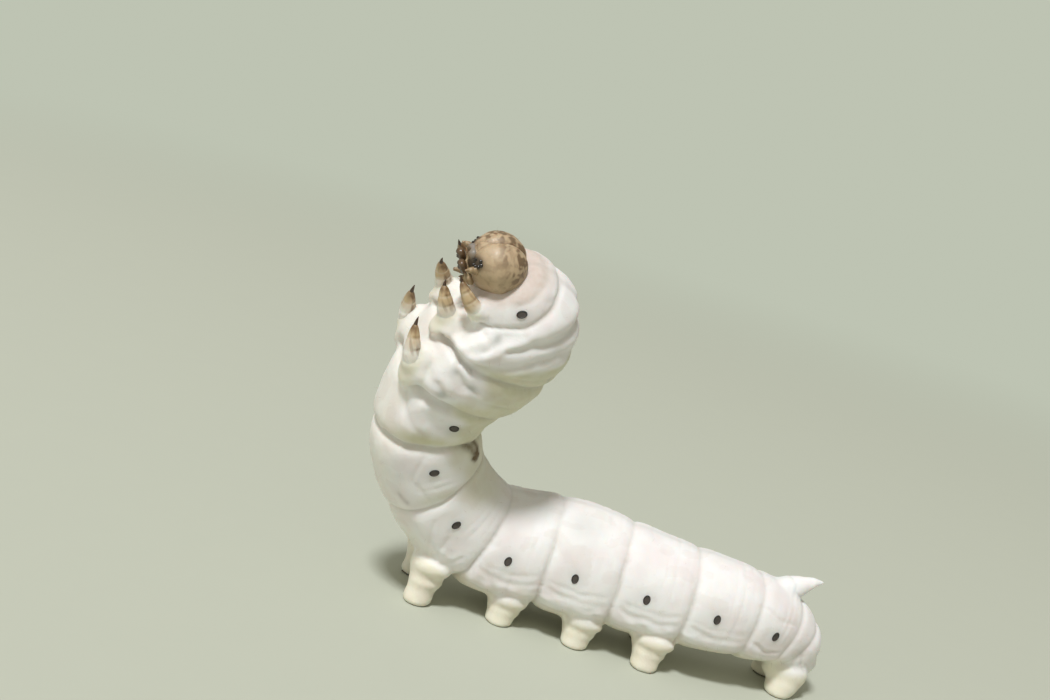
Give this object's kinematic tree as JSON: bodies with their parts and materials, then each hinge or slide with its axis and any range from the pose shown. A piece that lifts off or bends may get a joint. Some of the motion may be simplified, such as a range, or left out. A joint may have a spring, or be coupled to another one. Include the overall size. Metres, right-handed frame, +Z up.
{
  "type": "silkworm",
  "caption": "Silkworm, the larva of the silk moth, gripping with its prolegs and rearing its front half with the head curled forward.",
  "frame": {"origin": "middle of the footprint, on the floor", "axes": "+Z up, -X towards the reared front half and +X towards the tail, -Y towards the animal's left side"},
  "size_m": [0.0366, 0.0156, 0.0278],
  "materials": {
    "skin": "waxy",
    "head": "satin",
    "leg": "satin",
    "mouth": "glossy"
  },
  "bodies": {
    "root": {"head_capsule": "head", "labrum": "mouth", "labium": "mouth", "mandible_left": "mouth", "mandible_right": "mouth", "antenna_left": "leg", "antenna_right": "leg", "thorax_1": "skin", "thorax_2": "skin", "thorax_3": "skin", "abdomen_1": "skin", "abdomen_2": "skin", "abdomen_3": "skin", "abdomen_4": "skin", "abdomen_5": "skin", "abdomen_6": "skin", "abdomen_7": "skin", "abdomen_8": "skin", "abdomen_9": "skin", "abdomen_10": "skin", "leg_1_left": "leg", "leg_1_right": "leg", "leg_2_left": "leg", "leg_2_right": "leg", "leg_3_left": "leg", "leg_3_right": "leg", "proleg_3_left": "skin", "proleg_3_right": "skin", "proleg_4_left": "skin", "proleg_4_right": "skin", "proleg_5_left": "skin", "proleg_5_right": "skin", "proleg_6_left": "skin", "proleg_6_right": "skin", "anal_proleg_left": "skin", "anal_proleg_right": "skin", "horn": "skin"}
  },
  "joints": []
}
